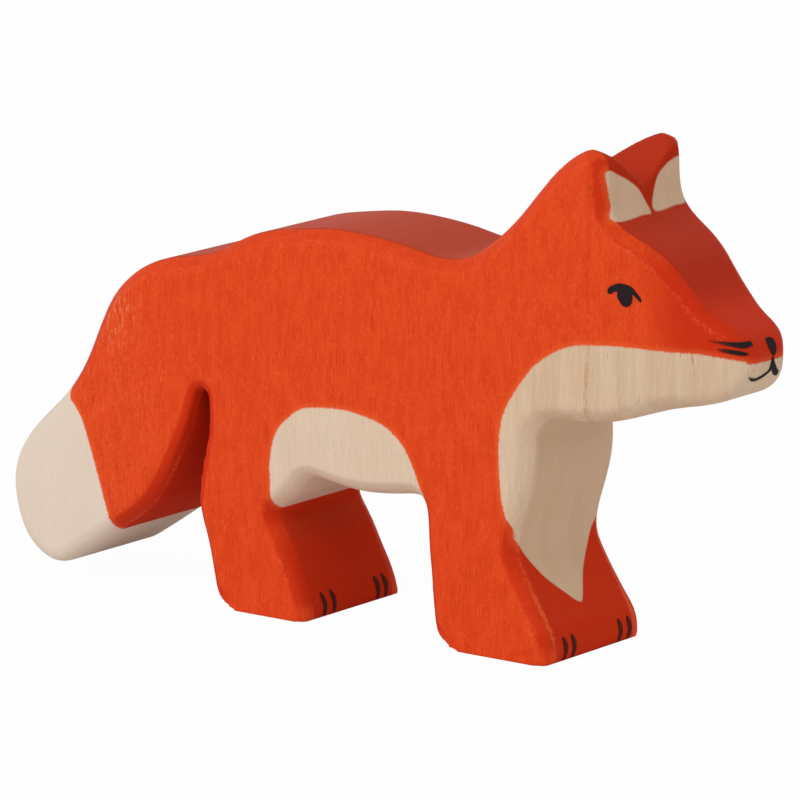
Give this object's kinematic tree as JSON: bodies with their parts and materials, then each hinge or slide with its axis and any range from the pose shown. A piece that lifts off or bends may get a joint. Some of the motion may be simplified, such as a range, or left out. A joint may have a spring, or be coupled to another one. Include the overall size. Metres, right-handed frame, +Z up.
{
  "type": "fox figurine",
  "caption": "Free-standing wooden play fox sawn from a board, rims sanded round, stained orange with bare belly, chest and tail tip, and brushed black eyes, whiskers, nose, mouth and toes.",
  "frame": {"origin": "on the floor, under the middle of the figure's bounding box", "axes": "+X towards the nose, +Y towards the figure's left side, +Z up"},
  "size_m": [0.1341, 0.025, 0.0775],
  "materials": {
    "stained_wood": "thin orange stain with the grain showing, satin, bare pale wood on the belly, chest, cheeks, ear fronts and tail tip",
    "black_paint": "dried black paint put on with a brush"
  },
  "bodies": {
    "root": {"carved_figure": "stained_wood", "eye_right": "black_paint", "whisker_upper_right": "black_paint", "whisker_lower_right": "black_paint", "eye_left": "black_paint", "whisker_upper_left": "black_paint", "whisker_lower_left": "black_paint", "nose_mark": "black_paint", "mouth_line": "black_paint", "toe_marks_front_right": "black_paint", "toe_marks_front_left": "black_paint", "toe_marks_rear_right": "black_paint", "toe_marks_rear_left": "black_paint"}
  },
  "joints": []
}
